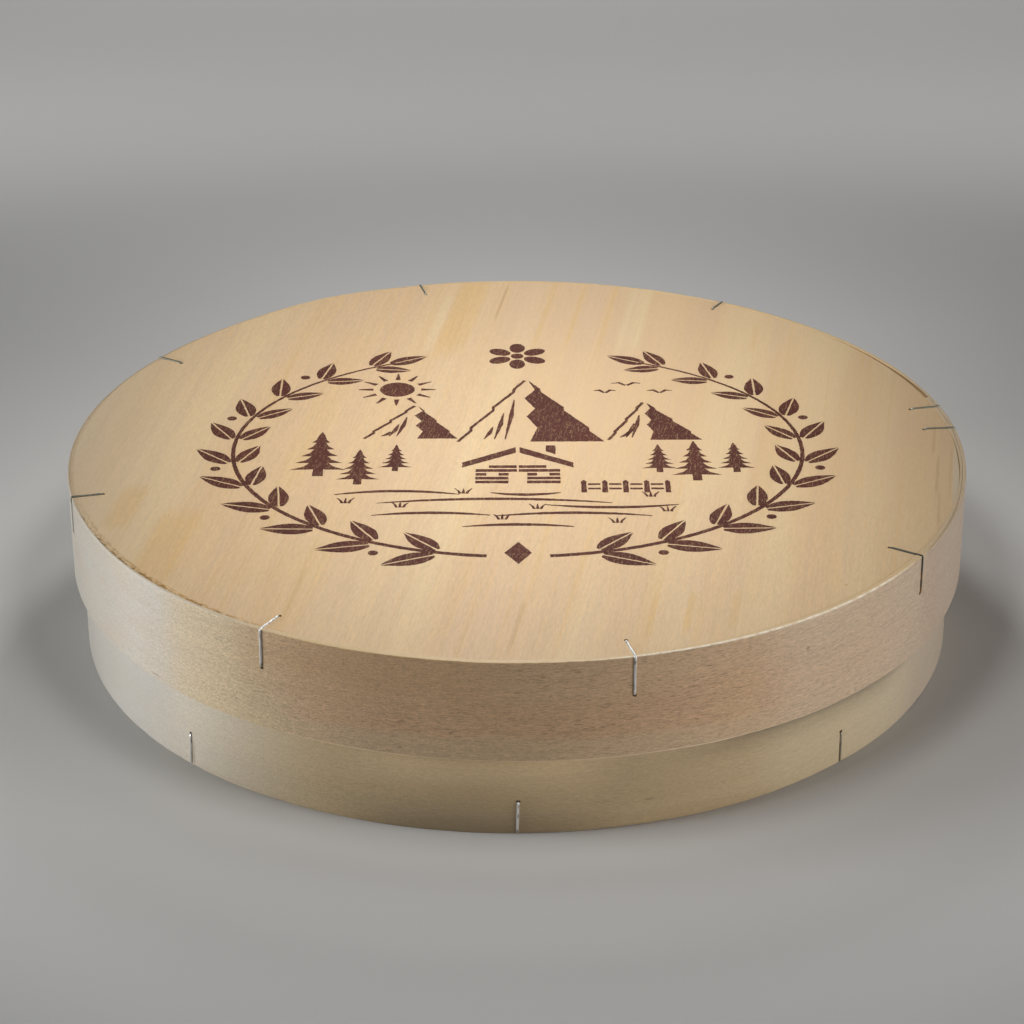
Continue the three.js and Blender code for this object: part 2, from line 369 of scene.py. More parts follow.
board_finish, root, inputs = new_finish("poplar_board", 0.6, 0.15)
colour, height, pores, place = board_wood(root)
x, y, z = place.parts()
from_middle = place.from_axis()
round_rim = root.joined(root.math("ARCTAN2", y, x) * LID_RADIUS, from_middle, 0.0)
ragged = round_rim.lumps((2.4, 0.45, 1), 2, 0.6).above(0.44, 0.54)
open_side = place.facing(*OPEN_SIDE)
torn = from_middle.above(LID_RADIUS - 2.4 * MM, LID_RADIUS - 1.7 * MM) * ragged * (0.04 + 0.96 * open_side)
right_rim, left_rim = place.facing(*RIGHT_RIM), place.facing(*LEFT_RIM)
sawn = from_middle.above(LID_RADIUS - 1.75 * MM, LID_RADIUS - 1.4 * MM) * right_rim * 0.35
uneven_cut = left_rim * (0.3 + 0.4 * ragged)
sawn = sawn + from_middle.above(LID_RADIUS - 1.4 * MM, LID_RADIUS - 0.7 * MM) * uneven_cut
broken = z.above(top - 1.2 * MM, top - 1.0 * MM) * (1 - z.above(top - 0.08 * MM, top - 0.02 * MM))
colour = colour.mixed(torn, root.colour(TORN)).mixed(sawn, root.colour(SAWN))
colour = colour.mixed(broken * 0.9, root.colour(SAWN).mixed(open_side, root.colour(TORN)))
# Greyer towards the left edge: partly the wood's tone, partly painted sheen.
grey_tone_and_sheen_left = (0 - x).above(80 * MM, 125 * MM)
colour = colour.mixed(grey_tone_and_sheen_left * 0.5, root.colour(ASH))
# Darker towards the right, left and back edges: partly the wood's tone, partly painted shade where less light
# falls.
edge_tone_and_shade = x.above(70 * MM, 125 * MM) * 0.27 + grey_tone_and_sheen_left * 0.14 + y.above(40 * MM, 115 * MM) * 0.05
colour = colour.shaded(1 - edge_tone_and_shade)
surface(inputs, colour, 0.55 + pores * 0.15, height, 0.04 * MM)
lid_board.data.materials.clear()
lid_board.data.materials.append(board_finish)
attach(lid_board, "root")
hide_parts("lid_board")

# Lid print: a mountain pasture in a wreath, in brown ink, pressed on the board with one stamp.
# The ink is a film too thin to feel, with ragged edges, and the wood's pores show through it.
INK_PROUD, INK_SUNK = 0.03 * MM, 0.05 * MM
INK_STEP, INK_RAG = 0.7, 0.07
BLOB_STEPS, LEAF_STEPS, LEAF_VEIN = 40, 15, 0.25
ink_draw = np.random.default_rng(3)
stamped = []


def stamp(outline):
    """Adds a shape in mm to the print, with a slightly ragged edge."""
    ends = np.array(outline, float)
    line = []
    for a, b in zip(ends, np.roll(ends, -1, 0)):
        steps = max(1, round(math.dist(a, b) / INK_STEP))
        line += [a + (b - a) * k / steps for k in range(steps)]
    line = np.array(line) + ink_draw.uniform(-INK_RAG, INK_RAG, (len(line), 2))
    heights = (top - INK_SUNK, top + INK_PROUD)
    stamped.append(np.array([np.column_stack([line * MM, np.full(len(line), h)]) for h in heights]))


def stroke(path, widths):
    """A line with the given widths at its points."""
    path, widths = np.array(path, float), np.broadcast_to(widths, len(path))
    ahead = np.gradient(path, axis=0)
    ahead /= np.linalg.norm(ahead, axis=1, keepdims=True)
    aside = np.column_stack([-ahead[:, 1], ahead[:, 0]]) * (widths / 2)[:, None]
    stamp(np.concatenate([path + aside, (path - aside)[::-1]]))


def turned(x, y, u, v, turn):
    """Points along and across a direction, from a place on the board."""
    along, aside = math.cos(turn), math.sin(turn)
    return np.column_stack([x + u * along - v * aside, y + u * aside + v * along])


def blob(x, y, wide, high, turn=0.0):
    angle = np.linspace(0, TURN, BLOB_STEPS, endpoint=False)
    u, v = wide / 2 * np.cos(angle), high / 2 * np.sin(angle)
    stamp(turned(x, y, u, v, turn))


def leaf(x, y, turn, length, width):
    """Two halves with a bare vein between them."""
    t = np.linspace(0, 1, LEAF_STEPS)
    belly = LEAF_VEIN + width / 2 * np.sin(math.pi * t ** 0.85)
    for side in (1, -1):
        u = np.concatenate([t, t[::-1]]) * length
        v = side * np.concatenate([np.full(LEAF_STEPS, LEAF_VEIN), belly[::-1]])
        stamp(turned(x, y, u, v, turn)[1:-1])


WREATH_WIDE, WREATH_HIGH = 75, 63
WREATH_NODES, NODE_STEP, STEM_STEPS = 11, 8, 90
LEAF_OPEN, BERRY_TURN, STALK, BERRY = 0.62, 1.75, 5.2, 2.6
for side in (1, -1):
    angle = np.linspace(math.radians(-84), math.radians(63), STEM_STEPS)
    stem = np.column_stack([side * WREATH_WIDE * np.cos(angle), WREATH_HIGH * np.sin(angle)])
    stroke(stem, np.linspace(1.6, 0.7, STEM_STEPS))
    for node in range(WREATH_NODES):
        k = 5 + node * NODE_STEP
        ahead = stem[k + 1] - stem[k]
        turn = math.atan2(ahead[1], ahead[0])
        fade = 1 - 0.25 * node / WREATH_NODES
        for way, length, width in ((1, 13.5, 5.2), (-1, 15, 5.8)):
            off = way * side * LEAF_OPEN
            from_x = stem[k, 0] + 1.5 * math.cos(turn + off)
            from_y = stem[k, 1] + 1.5 * math.sin(turn + off)
            leaf(from_x, from_y, turn + off, length * fade, width * fade)
        if node % 2:
            berry = turn - side * BERRY_TURN
            blob(stem[k, 0] + STALK * math.cos(berry), stem[k, 1] + STALK * math.sin(berry), BERRY, BERRY)
    leaf(*stem[-2], turn, 12, 4.6)
PETALS, PETAL_OFF, FLOWER_AT = 6, 5.6, 61
for petal in range(PETALS):
    turn = (petal + 0.5) * TURN / PETALS
    blob(PETAL_OFF * math.cos(turn), FLOWER_AT + PETAL_OFF * math.sin(turn), 6.4, 4.4, turn)
blob(0, FLOWER_AT, 3.6, 3.6)
stamp([(0, -67), (3.4, -61), (0, -55), (-3.4, -61)])


def peak(x, y, left, right, height):
    """A mountain: its shaded face, the line of its bright side and strokes down that side."""
    drops = np.array([0, 0.16, 0.3, 0.47, 0.6, 0.78, 1.0])
    ridge_x = x + left * np.array([0, 0.1, -0.06, 0.1, -0.03, 0.13, 0.02])
    ridge = np.column_stack([ridge_x, y + height * (1 - drops)])
    slope = np.array([1, 0.86, 0.8, 0.55, 0.5, 0.22, 0.17, 0.0])
    bumps = np.array([0, 0.02, -0.02, 0.03, -0.02, 0.03, -0.02, 0])
    far = np.column_stack([x + right * (1 - slope + bumps), y + height * slope])
    stamp(np.concatenate([far, ridge[:0:-1]]))
    near = np.column_stack([x - left * (1 - slope + bumps), y + height * slope])
    stroke(near - (0.9, 0), 0.9)
    for share in (0.3, 0.52, 0.74):
        top_x = x - left * share * 0.72
        top_y = y + height * (1 - share) - 1
        fall = [(top_x, top_y), (top_x - 0.8, top_y * 0.6 + y * 0.4), (top_x - 2.4, y + 1.5)]
        stroke(fall, (0.3, 1.3, 0.3))


peak(-27, 6, 13, 11, 21)
peak(3, 4, 18, 20, 40)
peak(35, 5, 10, 14, 24)
SUN, SUN_WIDE, RAYS, RAY_FROM, RAY_TO = np.array([-33, 38]), 9.5, 12, 6.6, 10.6
blob(*SUN, SUN_WIDE, SUN_WIDE)
for ray in range(RAYS):
    turn = ray * TURN / RAYS
    ahead = np.array([math.cos(turn), math.sin(turn)])
    stroke([SUN + RAY_FROM * ahead, SUN + RAY_TO * ahead], (1.5, 0.4))
for x, y, wing in ((30, 41, 4), (39, 36, 3.4), (24, 36, 3)):
    stroke([(x - wing, y + 1), (x - wing / 2, y + 1.4), (x - 0.2, y - 0.4)], (0.3, 1.0, 0.8))
    stroke([(x + 0.2, y - 0.4), (x + wing / 2, y + 1.4), (x + wing, y + 1)], (0.8, 1.0, 0.3))


def pine(x, y, height):
    """A fir with drooping branches over a short trunk."""
    sides = []
    for tier in range(5):
        half = height * (0.27 - 0.045 * tier)
        low = y + height * (0.14 + 0.155 * tier)
        sides += [(half, low), (half * 0.55, low + height * 0.07), (half * 0.34, low + height * 0.155)]
    sides = np.array([(height * 0.05, y), (height * 0.05, y + height * 0.15)] + sides + [(0.15, y + height)])
    stamp(np.concatenate([sides * (1, 1) + (x, 0), (sides * (-1, 1) + (x, 0))[::-1]]))


for x, y, height in ((-52, -17, 27), (-41.5, -22, 21), (-32, -14, 16),
                     (57, -15, 18), (46.5, -20, 24), (37, -15, 17)):
    pine(x, y, height)

# The chalet in the middle, the fence beside it and the meadow in front
for side in (1, -1):
    stamp([(side * 0.5, 0.5), (side * 14.5, -9), (side * 14.5, -12), (side * 0.5, -3)])
for plank in range(5):
    low = -21.5 + 2.3 * plank
    half = 11 if plank < 4 else 7.5
    for side in (1, -1):
        near = 2.4 if plank < 3 else 0.25
        runs = [(near, 5), (8.2, half)] if plank == 2 else [(near, half)]
        for a, b in runs:
            stamp([(side * a, low), (side * b, low), (side * b, low + 1.6), (side * a, low + 1.6)])
stamp([(7.4, -2.2), (10, -4.0), (10, 1.5), (7.4, 1.5)])
for post in range(5):
    x = 17 + 5.4 * post
    stamp([(x - 0.7, -27), (x + 0.7, -27), (x + 0.7, -20.6), (x, -19.6), (x - 0.7, -20.6)])
    if post < 4:
        for rail in (-22.6, -25.2):
            stamp([(x + 1.1, rail), (x + 4.3, rail), (x + 4.3, rail + 1), (x + 1.1, rail + 1)])
for x, y, half, painted_height_light in ((-31, -28, 16, 2.0), (2, -27, 9, -1.2), (-6, -33, 30, 2.4), (24, -34, 17, -1.6),
                         (-22, -40, 15, 1.4), (14, -40.5, 20, 1.8), (0, -46.5, 14, 1.2)):
    t = np.linspace(-1, 1, 21)
    stroke(np.column_stack([x + half * t, y + painted_height_light * (1 - t * t)]), 0.35 + 1.1 * (1 - t * t))
for x, y in ((-44, -33), (-14, -27.5), (34, -29.5), (-30, -35.5),
             (5, -36.5), (38, -38), (-4, -42.5), (25, -44.5)):
    for blade in (-1, 0, 1):
        stroke([(x + 0.8 * blade, y), (x + 1.3 * blade, y + 1.6), (x + 2.2 * blade, y + 3)], (0.8, 0.6, 0.2))

INK = (0.085, 0.022, 0.014)
lid_print = loft("lid_print_ink", *stamped)
face_outwards(lid_print)
ink_finish, root, inputs = new_finish("brown_ink", 0.7)
inputs["Specular IOR Level"].default_value = 0.15
wood, height, pores, place = board_wood(root)
worn = pores.above(0.56, 0.7) * 0.4 + place.lumps((0.5, 0.9, 1), 2).above(0.55, 0.72) * 0.35
tone = place.lumps((9, 14, 9)) * 0.6 + 0.7
surface(inputs, root.colour(INK).shaded(tone).mixed(worn * 0.5, wood), 0.62 + pores * 0.15, height, 0.06 * MM)
lid_print.data.materials.append(ink_finish)
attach(lid_print, "root")

# Lid band: one strip of peeled poplar bent round the board, with its grain and short pores along it.
# Its ends lap at the right: the inner end is blunt and opens a dark wedge beside the board,
# and the outer end is pared thin and lies flush under the wire.
STATION = math.radians(0.5)
EDGE_ROUND, INNER_EDGE, LAP_EDGE_CUT = 0.16 * MM, 0.02 * MM, 0.12 * MM
END_SLIT = math.radians(0.01)
FACE_ROWS, INSIDE_ROWS = 14, 6
EDGE_SHARE = 0.42


def strip_rings(radius, out, low, high, lap_at, seed):
    """Sections of a bent strip from its inner to its outer end, with their length along the strip."""
    runs = np.arange(0, TURN + LAP_ANGLE + STATION / 2, STATION)
    lap_end = np.array([LAP_ANGLE + END_SLIT, LAP_ANGLE + 2 * END_SLIT])
    runs = np.sort(np.concatenate([runs, lap_end]))
    angle = lap_at - runs
    inside = strip_inside(radius, runs)
    under = strip_inside(radius, runs + TURN) - LAP_GAP
    outside = np.where(runs < LAP_ANGLE + 1.5 * END_SLIT, under, radius)
    waver = out(angle)
    spots = polar(radius, angle, low)
    low_edge = low + MM * (0.16 * rough(spots, 14 * MM, seed) + 0.07 * rough(spots, 2.2 * MM, seed + 1))
    high_edge = high + MM * (0.10 * rough(spots, 18 * MM, seed + 2) + 0.06 * rough(spots, 1.6 * MM, seed + 3))
    belly = MM * 0.12 * rough(spots, 30 * MM, seed + 4)
    e = EDGE_ROUND
    corner = np.linspace(0, math.pi / 2, 4)
    rings = []
    stations = zip(runs, angle, inside, outside, waver, low_edge, high_edge, belly)
    for run, a, r_in, r_out, sway_here, z0, z1, swell in stations:
        most = EDGE_SHARE * (r_out - r_in)
        e_here = min(LAP_EDGE_CUT if r_out < radius else e, most)
        cut = min(LAP_EDGE_CUT, most) if run > TURN else INNER_EDGE
        rows_up = np.linspace(z0 + e, z1 - e, FACE_ROWS)
        rows_down = np.linspace(z1 - e, z0 + e, INSIDE_ROWS)
        bulged = swell * np.sin(np.pi * (rows_up - z0) / (z1 - z0)) * (r_out == radius)
        section = [(r_out + b, z) for b, z in zip(bulged, rows_up)]
        section += [(r_out - e_here + e_here * math.cos(t), z1 - e + e * math.sin(t)) for t in corner[1:]]
        section += [(r_in + cut * (1 - math.sin(t)), z1 - cut * (1 - math.cos(t))) for t in corner]
        section += [(r_in, z) for z in rows_down]
        section += [(r_in + e_here - e_here * math.cos(t), z0 + e - e * math.sin(t)) for t in corner[1:]]
        section += [(r_out - e_here + e_here * math.sin(t), z0 + e - e * math.cos(t)) for t in corner[:-1]]
        section = np.array(section)
        rings.append(polar(section[:, 0] + sway_here, a, section[:, 1]))
    return np.array(rings), runs * radius


def keep_grain(piece, rings, lengths):
    """Stores the length along the strip and the height at each corner, for the grain to follow."""
    count = rings.shape[1]
    along = np.repeat(lengths, count)
    loops = np.zeros(len(piece.data.loops), int)
    piece.data.loops.foreach_get("vertex_index", loops)
    layer = piece.data.uv_layers.new(name="grain")
    values = np.stack([along, rings.reshape(-1, 3)[:, 2]], -1)[loops]
    layer.data.foreach_set("uv", values.astype(np.float32).ravel())


# Paler, greyer left side of a strip: partly paler wood, partly painted sheen from the light at the left.
PALE_WOOD_SHEEN = (0.54, 0.50, 0.43)
# Sides of a strip that differ, as on the board
PALE_SHEEN_SIDE, SLIT_SIDE, SANDED_SIDE = (189, 27, 59), (300, 15, 40), (210, 25, 62)
SHADED_LEFT, SMOOTH_LEFT = (168, 22, 46), (178, 30, 52)


def strip_wood(root, radius, tones, dashes, coarse, marks):
    """Colour, shade, relief and fibres of a peeled strip with its grain along it, and where they lie."""
    length = root.node("ShaderNodeUVMap", {"uv_map": "grain"}, {})
    place = root.node("ShaderNodeTexCoord", {}, {}, "Object")
    along, up, _ = length.parts()
    grain = root.joined(along, up, place.from_axis())
    pale, warm, deep = (root.colour(tone) for tone in tones)
    broad = grain.lumps((150, 13, 40))
    lines = grain.lumps((45, 0.9, 6), 3, 0.6)
    fibres = grain.lumps((1.7, 0.2, 0.4), 3, 0.7, 0.4)
    cells = grain.lumps((0.55, 0.32, 0.4), 2, 0.6)
    pores = grain.lumps((1.8, 0.25, 0.4), 1, 0.5, 0.4)
    slits = grain.lumps((2.8, 0.27, 0.4), 1).above(0.64, 0.69) * place.facing(*SLIT_SIDE)
    where = grain.lumps((40, 9, 20)).above(0.3, 0.65)
    # The paler left side: partly the wood, partly painted sheen.
    pale_sheen = place.facing(*PALE_SHEEN_SIDE)
    uneven = 0.85 + 0.5 * (grain.lumps((18, 7, 20)) - 0.5)
    dash = (pores.above(0.60, 0.67) * (0.45 + 0.55 * where) * (1 - pale_sheen * 0.6) + slits * 0.7) * dashes
    colour = pale.mixed(broad.above(0.35, 0.65), warm)
    colour = colour.mixed(pale_sheen * uneven, root.colour(PALE_WOOD_SHEEN)).mixed(dash, deep)
    for run, at_height, half_length, half_height, strength in marks:
        aside = (along - math.radians(run) * radius) / (half_length * MM)
        on = (up - at_height * MM) / (half_height * MM)
        colour = colour.mixed((1 - (aside * aside + on * on).above(0.1, 1.0)) * strength, deep)
    sanded = 0.45 + 0.7 * place.facing(*SANDED_SIDE)
    ripple = (lines - 0.5) * 0.25 + (fibres - 0.5) * 1.2 + (cells - 0.5) * sanded
    smooth, shaded_left = place.facing(*SMOOTH_LEFT), place.facing(*SHADED_LEFT)
    shade = (1 + ripple * (1 - smooth * 0.65) * coarse) * (1 - shaded_left * 0.22)
    height = fibres * 0.7 + lines * 0.2 + cells * 0.3 - dash
    return colour, shade, height, fibres, place, length, pale_sheen


def painted_light(place, changes):
    """Painted light and shade by side: 1, and the change given for that side."""
    painted_level = 1.0
    for azimuth, near, far, change in changes:
        painted_level = painted_level + place.facing(azimuth, near, far) * change
    return painted_level


LID_LEG = 10 * MM
PIN_INSIDE, PIN_OUTSIDE = 5 * MM, 3 * MM
rings, lengths = strip_rings(LID_RADIUS, sway, band_low.z, band_high.z, LID_LAP_AT, 11)
lid_band = loft("lid_band_strip", rings)
keep_grain(lid_band, rings, lengths)
foot = band_high.z - LID_LEG
lid_pin = np.array([LID_RADIUS - PIN_INSIDE, LID_RADIUS + PIN_OUTSIDE])
pierce(lid_band, [polar(lid_pin, a, foot - HOLE_OFF) for a in LID_STAPLES])

PALE_STRIP, ROSY_STRIP, PORE = (0.61, 0.41, 0.237), (0.605, 0.385, 0.217), (0.23, 0.12, 0.055)
LOWER_STRIP, GREY_SHADED_STRIP, AMBER_STRIP = (0.58, 0.455, 0.285), (0.405, 0.318, 0.237), (0.59, 0.368, 0.19)
YELLOW_STRIP, SANDY_STRIP, STRAW_STRIP = (0.60, 0.455, 0.25), (0.57, 0.455, 0.33), (0.555, 0.46, 0.295)
EDGE_STRIP, EDGE_HIGHLIGHT, LEFT_RIM_PAINTED_LIGHT = (0.63, 0.435, 0.205), (0.95, 0.85, 0.68), (0.60, 0.53, 0.42)
LAP_EDGE, LOW_HIGHLIGHT, SEAM = (0.47, 0.35, 0.215), (0.90, 0.70, 0.44), (0.36, 0.24, 0.095)
# Sides that differ, as on the board, and sides with painted light or shade, lighter or darker by the share
# given last
RIGHT_HALF, YELLOW_SIDE, GREY_SHADED_SIDE = (325, 15, 35), (233, 3, 12), (-6, 12, 42)
SANDY_SIDE, AMBER_SIDE, LOW_HIGHLIGHT_SIDE = (315, 7, 18), (252, 8, 20), (270, 14, 34)
LAP_SIDE, EDGE_HIGHLIGHT_SIDE, BACK_LEFT = (-4, 16, 36), (302, 14, 28), (165, 22, 40)
LID_PAINTED_LIGHT = ((321, 6, 17, -0.07), (223, 5, 14, 0.075), (247, 4, 14, -0.09), (203, 6, 16, -0.06))
# Specks that show: degrees along the strip, height, half length and half height in mm, strength
LID_SPECKS = ((70.3, 39.5, 0.75, 0.6, 1.0), (155.2, 22.3, 2.4, 0.3, 0.5))
band_finish, root, inputs = new_finish("peeled_lid_strip", 0.45, 0.15)
colour, shade, height, fibres, place, length, pale_sheen = strip_wood(
    root, LID_RADIUS, (PALE_STRIP, ROSY_STRIP, PORE), 0.5, 1.0, LID_SPECKS)
along, up, _ = length.parts()
border = root.joined(along, 0.0, 0.0).lumps((26, 1, 1), 3) * (7 * MM) + (band_low.z + 2.5 * MM)
lower = 1 - ((up - border) / (1.2 * MM)).above(-1, 1)
right_half = place.facing(*RIGHT_HALF)
colour = colour.mixed(lower * (0.35 - 0.3 * pale_sheen) * (1 - right_half), root.colour(LOWER_STRIP))
colour = colour.mixed(place.facing(*YELLOW_SIDE) * 0.6, root.colour(YELLOW_STRIP))
# Greyer and darker on the right side: partly the strip's tone, partly painted shade.
colour = colour.mixed(place.facing(*GREY_SHADED_SIDE) * 0.85, root.colour(GREY_SHADED_STRIP))
colour = colour.mixed(place.facing(*SANDY_SIDE) * 0.42, root.colour(SANDY_STRIP))
amber = place.facing(*AMBER_SIDE) * up.above(28 * MM, 42 * MM)
colour = colour.mixed(amber * 0.7, root.colour(AMBER_STRIP))
rim_top = up.above(band_high.z - 0.25 * MM, band_high.z - 0.08 * MM)
x, _, _ = place.parts()
from_middle = place.from_axis()
outer = (from_middle - x * 0.01).above(LID_RADIUS - 1.25 * MM, LID_RADIUS - 0.95 * MM)
lap_side = place.facing(*LAP_SIDE)
seam = (1 - up.above(band_high.z - 0.11 * MM, band_high.z - 0.05 * MM)) * lap_side
seam = seam * (1 - from_middle.above(LID_RADIUS - 0.5 * MM, LID_RADIUS - 0.3 * MM))
frayed = root.joined(along, 0.0, 0.0).lumps((2.2, 1, 1), 3, 0.6).above(0.36, 0.6)
# Painted highlight on the rounded outer edge of the rim at the front right, broken where the edge is frayed.
edge_highlight = place.facing(*EDGE_HIGHLIGHT_SIDE) * outer * (0.35 + 0.65 * frayed)
# Painted light: on the left the rim's top is as pale as the band's side.
edge_tone = root.colour(EDGE_STRIP).mixed(pale_sheen, root.colour(LEFT_RIM_PAINTED_LIGHT))
edge_tone = edge_tone.mixed(edge_highlight, root.colour(EDGE_HIGHLIGHT))
edge_tone = edge_tone.mixed(place.facing(*BACK_LEFT), root.colour(LAP_EDGE))
edge_tone = edge_tone.mixed(lap_side, root.colour(LAP_EDGE)).shaded(0.7 + 0.3 * shade)
# Painted highlight along the rounded lower edge in the rim's tones, weaker on the left and the right.
low_rim_highlight = 1 - up.above(band_low.z + 0.1 * MM, band_low.z + 0.5 * MM)
low_rim_highlight = low_rim_highlight * (0.4 - 0.35 * pale_sheen) * (1 - 0.7 * right_half)
# A brighter painted highlight line along the lower edge at the front.
low_line_highlight = 1 - up.above(band_low.z + 0.15 * MM, band_low.z + 0.4 * MM)
low_line_highlight = low_line_highlight * place.facing(*LOW_HIGHLIGHT_SIDE)
# Painted light and shade on a few sides of the band.
painted_level = painted_light(place, LID_PAINTED_LIGHT)
colour = colour.shaded(shade * painted_level).mixed(rim_top * 0.92 + low_rim_highlight, edge_tone)
colour = colour.mixed(low_line_highlight * 0.65, root.colour(LOW_HIGHLIGHT)).mixed(seam * 0.85, root.colour(SEAM))
surface(inputs, colour, 0.42 + fibres * 0.12, height, 0.06 * MM)
lid_band.data.materials.clear()
lid_band.data.materials.append(band_finish)
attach(lid_band, "root")
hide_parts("lid_band")

# Lid staples: bits of galvanised wire bent over the rim by a stapling machine, no two quite alike.
# Each lies across the board, steps up on to the band's edge, turns down its face and goes in through it.
RIM_STEP, STEP_RUN, TURNED_IN = 1.5 * MM, 1.4 * MM, 1.2 * MM
SUNK, LEAN = 0.26 * MM, 0.03
BEND, BEND_STEPS, WIRE_SIDES = 0.55 * MM, 6, 14
BRIGHT_REFLECTION, DIM_REFLECTION, SPOTTED = (0.80, 0.80, 0.79), (0.17, 0.175, 0.145), (0.30, 0.27, 0.22)
BACK_REFLECTION, LAP_REFLECTION, BLACKENED = (0.42, 0.43, 0.38), (0.36, 0.37, 0.31), (0.075, 0.07, 0.06)
RUST, PALE_LEG_HIGHLIGHT, BRONZED = (0.42, 0.24, 0.11), (0.62, 0.60, 0.55), (0.42, 0.38, 0.31)
# Sides of the wires, as on the board. The bright front, the grey back and lap and the dim rest are painted
# reflections.
FRONT_WIRES, BACK_WIRES, LAP_WIRES = (262, 40, 60), (82, 30, 48), (9, 8, 14)
BLACK_WIRE, LEFT_WIRE, LOW_RIGHT_WIRE = (327, 6, 9), (194.4, 4, 7), (314, 3, 5)
lean_draw = np.random.default_rng(7)


def bent(corners):
    """Points along straight runs with a small round bend at each corner."""
    points = [corners[0]]
    for before, here, after in zip(corners, corners[1:], corners[2:]):
        start = here + (before - here) * min(0.5, BEND / np.linalg.norm(before - here))
        end = here + (after - here) * min(0.5, BEND / np.linalg.norm(after - here))
        for t in np.linspace(0, 1, BEND_STEPS):
            points.append((1 - t) ** 2 * start + 2 * t * (1 - t) * here + t * t * end)
    return np.array(points + [corners[-1]])


def staple(name, angle, corners, lean_in, lean_down):
    """A wire through corners given as radius and height, leaning a little to one side."""
    radii, heights = np.array(corners).T
    out = np.array([math.cos(angle), math.sin(angle), 0])
    aside = np.array([-math.sin(angle), math.cos(angle), 0])
    shift = lean_in * (radii.max() - radii) + lean_down * (heights.max() - heights)
    path = bent(radii[:, None] * out + shift[:, None] * aside + heights[:, None] * np.array([0, 0, 1]))
    piece = loft(name, wire_rings(path, WIRE / 2, WIRE_SIDES))
    face_outwards(piece, SHARP_WIRE)
    return piece


steel, root, inputs = new_finish("galvanised_wire", 0.35, 0.0, 1.0)
place = root.node("ShaderNodeTexCoord", {}, {}, "Object")
_, _, z = place.parts()
spots = place.lumps((0.9, 0.9, 2.5), 3)
drawn = place.lumps((0.12, 0.12, 3), 2)
# Painted reflections: dim wire, grey at the back and the lap, bright at the front.
colour = root.colour(DIM_REFLECTION).mixed(place.facing(*BACK_WIRES), root.colour(BACK_REFLECTION))
colour = colour.mixed(place.facing(*LAP_WIRES), root.colour(LAP_REFLECTION))
colour = colour.mixed(place.facing(*FRONT_WIRES), root.colour(BRIGHT_REFLECTION))
black = place.facing(*BLACK_WIRE)
rusty = black * z.above(24 * MM, 26 * MM) * (1 - z.above(41 * MM, 45 * MM))
colour = colour.mixed(black, root.colour(BLACKENED)).mixed(rusty * 0.8, root.colour(RUST))
# A painted highlight on the leg of the staple at the left.
left_leg = place.facing(*LEFT_WIRE) * (1 - z.above(45.5 * MM, 47 * MM))
low_right = place.facing(*LOW_RIGHT_WIRE) * (1 - z.above(12 * MM, 14 * MM))
colour = colour.mixed(left_leg * 0.85, root.colour(PALE_LEG_HIGHLIGHT)).mixed(low_right, root.colour(BRONZED))
colour = colour.mixed(spots.above(0.5, 0.72), root.colour(SPOTTED).shaded(1 - 0.6 * black))
surface(inputs, colour, 0.32 + spots * 0.22, drawn, 0.02 * MM)
for number, (angle, reach) in enumerate(zip(LID_STAPLES, LID_REACH), 1):
    face = LID_RADIUS + float(sway(angle)) + WIRE / 2 - SUNK
    on_board, on_band = top + WIRE / 2 - SUNK, band_high.z + WIRE / 2 - SUNK
    inner = LID_RADIUS - reach
    step = LID_RADIUS + float(sway(angle)) - RIM_STEP
    route = [(inner, top - STAPLE_BITE), (inner, on_board), (step - STEP_RUN, on_board), (step, on_band),
             (face, on_band), (face, foot), (LID_RADIUS - TURNED_IN, foot)]
    wire = staple(f"lid_wire_{number}", angle, route, *lean_draw.uniform(-LEAN, LEAN, 2))
    wire.data.materials.append(steel)
    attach(wire, "root")
    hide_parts(f"lid_staple_{number}")

# Base board: the bottom of the box, from the same poplar as the lid, seen only from below.
# The shut box can't be seen into, so it is as thick as what fills the base.
_, base_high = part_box("base_board")
strip_low, strip_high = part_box("base_band")
BASE_CENTRE = (strip_low.x + strip_high.x) / 2
BASE_RADIUS = (strip_high.y - strip_low.y) / 2
BASE_LAP_AT = math.radians(122)
BASE_WAVES, BASE_WAVES_TURN = 0.4, 40
BASE_LEG, BASE_REACH = 8.5 * MM, 8.4 * MM
RECESS, BASE_RING, BASE_EDGE, BASE_SIDE = 0.28 * MM, 110 * MM, 0.4 * MM, 2 * MM
BASE_STAPLES = [math.radians(a) for a in (0, 45, 90, 135, 180, 225.9, 270.2, 314.2)]


def base_sway(angle):
    """The base is rounder than the lid."""
    turned_by = [(n, size, math.radians(at + BASE_WAVES_TURN)) for n, size, at in LID_WAVES]
    return BASE_WAVES * sum(MM * size * np.cos(n * (angle - at)) for n, size, at in turned_by)


base_run = (BASE_LAP_AT - lid_turn) % TURN
base_rim = strip_inside(BASE_RADIUS, base_run) + base_sway(lid_turn) - JOINT_TIGHT
base_profile = [(FLAT_RING, 0, RECESS), (BASE_RING, 0, RECESS)]
base_profile += [(base_rim - BASE_EDGE, nicks, RECESS + 0.02 * MM), (base_rim, nicks, RECESS + 0.12 * MM)]
base_profile += [(base_rim, 0, BASE_SIDE), (base_rim, 0, base_high.z), (FLAT_RING, 0, base_high.z)]
base_board = loft("base_board_wood", np.array([
    polar(np.broadcast_to(r - c, BOARD_STEPS), lid_turn, h) for r, c, h in base_profile]))
base_board.data.transform(Matrix.Translation((BASE_CENTRE, 0, 0)))
face_outwards(base_board)
base_board.data.materials.append(board_finish)
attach(base_board, "root")
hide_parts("base_board")

